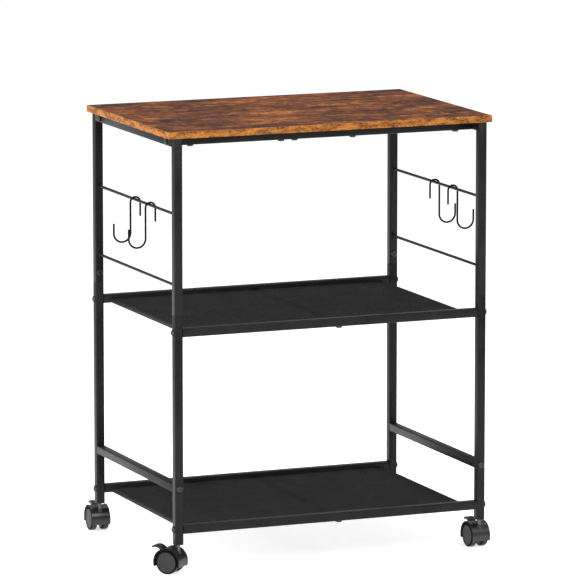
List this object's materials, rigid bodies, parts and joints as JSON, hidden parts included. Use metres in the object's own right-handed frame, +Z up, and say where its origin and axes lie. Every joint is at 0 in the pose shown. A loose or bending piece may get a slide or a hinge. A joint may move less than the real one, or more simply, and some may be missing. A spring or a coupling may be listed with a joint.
{
  "type": "mobile printer stand",
  "caption": "Rolling printer stand: a wood-look board on a black square-tube frame, mesh decks below it, side rods with hanging hooks, and hooded castors with brake levers.",
  "frame": {"origin": "on the floor, under the middle of the stand's outline with its castors and hooks as they rest", "axes": "+X along the long front edge to the right, +Y from front to back, +Z up"},
  "size_m": [0.648, 0.4526, 0.763],
  "materials": {
    "board_wood": "rustic brown wood-look laminate, satin",
    "powder_coat": "fine satin black powder coat",
    "deck_mesh": "powder-coated welded wire mesh",
    "hook_wire": "black coated steel wire",
    "black_bolt": "black oxide, satin",
    "castor_plastic": "moulded black nylon",
    "wheel_plastic": "dark grey nylon wheel",
    "bare_steel": "zinc-plated steel"
  },
  "bodies": {
    "frame": {"tabletop": "board_wood", "front_left_upper_leg": "powder_coat", "front_left_lower_leg": "powder_coat", "front_right_upper_leg": "powder_coat", "front_right_lower_leg": "powder_coat", "back_left_upper_leg": "powder_coat", "back_left_lower_leg": "powder_coat", "back_right_upper_leg": "powder_coat", "back_right_lower_leg": "powder_coat", "left_top_rail": "powder_coat", "right_top_rail": "powder_coat", "front_top_rail": "powder_coat", "back_top_rail": "powder_coat", "left_upper_rod": "powder_coat", "left_lower_rod": "powder_coat", "right_upper_rod": "powder_coat", "right_lower_rod": "powder_coat", "left_foot_rail": "powder_coat", "right_foot_rail": "powder_coat", "middle_shelf_front_rail": "powder_coat", "middle_shelf_back_rail": "powder_coat", "bottom_shelf_front_rail": "powder_coat", "bottom_shelf_back_rail": "powder_coat", "middle_mesh_deck": "deck_mesh", "bottom_mesh_deck": "deck_mesh", "front_left_foot_rail_bolt": "black_bolt", "front_left_stem": "bare_steel", "front_right_foot_rail_bolt": "black_bolt", "front_right_stem": "bare_steel", "back_left_foot_rail_bolt": "black_bolt", "back_left_stem": "bare_steel", "back_right_foot_rail_bolt": "black_bolt", "back_right_stem": "bare_steel"},
    "front_left_castor": {"front_left_hood": "castor_plastic", "front_left_axle": "bare_steel"},
    "front_left_left_wheel": {"front_left_left_wheel": "wheel_plastic"},
    "front_left_right_wheel": {"front_left_right_wheel": "wheel_plastic"},
    "front_left_brake": {"front_left_brake_lever": "castor_plastic"},
    "front_right_castor": {"front_right_hood": "castor_plastic", "front_right_axle": "bare_steel"},
    "front_right_left_wheel": {"front_right_left_wheel": "wheel_plastic"},
    "front_right_right_wheel": {"front_right_right_wheel": "wheel_plastic"},
    "front_right_brake": {"front_right_brake_lever": "castor_plastic"},
    "back_left_castor": {"back_left_hood": "castor_plastic", "back_left_axle": "bare_steel"},
    "back_left_left_wheel": {"back_left_left_wheel": "wheel_plastic"},
    "back_left_right_wheel": {"back_left_right_wheel": "wheel_plastic"},
    "back_left_brake": {"back_left_brake_lever": "castor_plastic"},
    "back_right_castor": {"back_right_hood": "castor_plastic", "back_right_axle": "bare_steel"},
    "back_right_left_wheel": {"back_right_left_wheel": "wheel_plastic"},
    "back_right_right_wheel": {"back_right_right_wheel": "wheel_plastic"},
    "back_right_brake": {"back_right_brake_lever": "castor_plastic"},
    "left_back_hook": {"left_back_hook": "hook_wire"},
    "left_front_hook": {"left_front_hook": "hook_wire"},
    "right_back_hook": {"right_back_hook": "hook_wire"},
    "right_front_hook": {"right_front_hook": "hook_wire"}
  },
  "joints": [
    {"name": "front_left_swivel", "type": "hinge", "parent": "frame", "child": "front_left_castor", "pos_m": [-0.2825, -0.2085, 0.0205], "axis": [0, 0, 1], "continuous": true},
    {"name": "front_left_left_wheel_spin", "type": "hinge", "parent": "front_left_castor", "child": "front_left_left_wheel", "pos_m": [-0.29221, -0.19733, 0.0205], "axis": [0.7547, 0.6561, 0], "continuous": true},
    {"name": "front_left_right_wheel_spin", "type": "hinge", "parent": "front_left_castor", "child": "front_left_right_wheel", "pos_m": [-0.29221, -0.19733, 0.0205], "axis": [0.7547, 0.6561, 0], "continuous": true},
    {"name": "front_left_brake_press", "type": "hinge", "parent": "front_left_castor", "child": "front_left_brake", "pos_m": [-0.3008, -0.18744, 0.0365], "axis": [0.7547, 0.6561, 0], "range_deg": [-18, 0]},
    {"name": "front_right_swivel", "type": "hinge", "parent": "frame", "child": "front_right_castor", "pos_m": [0.2825, -0.2085, 0.0205], "axis": [0, 0, 1], "continuous": true},
    {"name": "front_right_left_wheel_spin", "type": "hinge", "parent": "front_right_castor", "child": "front_right_left_wheel", "pos_m": [0.28198, -0.19371, 0.0205], "axis": [0.9994, 0.0349, 0], "continuous": true},
    {"name": "front_right_right_wheel_spin", "type": "hinge", "parent": "front_right_castor", "child": "front_right_right_wheel", "pos_m": [0.28198, -0.19371, 0.0205], "axis": [0.9994, 0.0349, 0], "continuous": true},
    {"name": "front_right_brake_press", "type": "hinge", "parent": "front_right_castor", "child": "front_right_brake", "pos_m": [0.28153, -0.18062, 0.0365], "axis": [0.9994, 0.0349, 0], "range_deg": [-18, 0]},
    {"name": "back_left_swivel", "type": "hinge", "parent": "frame", "child": "back_left_castor", "pos_m": [-0.2825, 0.1765, 0.0205], "axis": [0, 0, 1], "continuous": true},
    {"name": "back_left_left_wheel_spin", "type": "hinge", "parent": "back_left_castor", "child": "back_left_left_wheel", "pos_m": [-0.28185, 0.19129, 0.0205], "axis": [0.999, -0.0436, 0], "continuous": true},
    {"name": "back_left_right_wheel_spin", "type": "hinge", "parent": "back_left_castor", "child": "back_left_right_wheel", "pos_m": [-0.28185, 0.19129, 0.0205], "axis": [0.999, -0.0436, 0], "continuous": true},
    {"name": "back_left_brake_press", "type": "hinge", "parent": "back_left_castor", "child": "back_left_brake", "pos_m": [-0.28128, 0.20437, 0.0365], "axis": [0.999, -0.0436, 0], "range_deg": [-18, 0]},
    {"name": "back_right_swivel", "type": "hinge", "parent": "frame", "child": "back_right_castor", "pos_m": [0.2825, 0.1765, 0.0205], "axis": [0, 0, 1], "continuous": true},
    {"name": "back_right_left_wheel_spin", "type": "hinge", "parent": "back_right_castor", "child": "back_right_left_wheel", "pos_m": [0.28456, 0.19116, 0.0205], "axis": [0.9903, -0.1392, 0], "continuous": true},
    {"name": "back_right_right_wheel_spin", "type": "hinge", "parent": "back_right_castor", "child": "back_right_right_wheel", "pos_m": [0.28456, 0.19116, 0.0205], "axis": [0.9903, -0.1392, 0], "continuous": true},
    {"name": "back_right_brake_press", "type": "hinge", "parent": "back_right_castor", "child": "back_right_brake", "pos_m": [0.28638, 0.20413, 0.0365], "axis": [0.9903, -0.1392, 0], "range_deg": [-18, 0]},
    {"name": "left_back_hook_swing", "type": "hinge", "parent": "frame", "child": "left_back_hook", "pos_m": [-0.2825, -0.009, 0.6206], "axis": [0, 1, 0], "range_deg": [-70, 70]},
    {"name": "left_front_hook_swing", "type": "hinge", "parent": "frame", "child": "left_front_hook", "pos_m": [-0.2825, -0.082, 0.6206], "axis": [0, 1, 0], "range_deg": [-70, 70]},
    {"name": "right_back_hook_swing", "type": "hinge", "parent": "frame", "child": "right_back_hook", "pos_m": [0.2825, -0.011, 0.6206], "axis": [0, -1, 0], "range_deg": [-70, 70]},
    {"name": "right_front_hook_swing", "type": "hinge", "parent": "frame", "child": "right_front_hook", "pos_m": [0.2825, -0.089, 0.6206], "axis": [0, -1, 0], "range_deg": [-70, 70]}
  ]
}
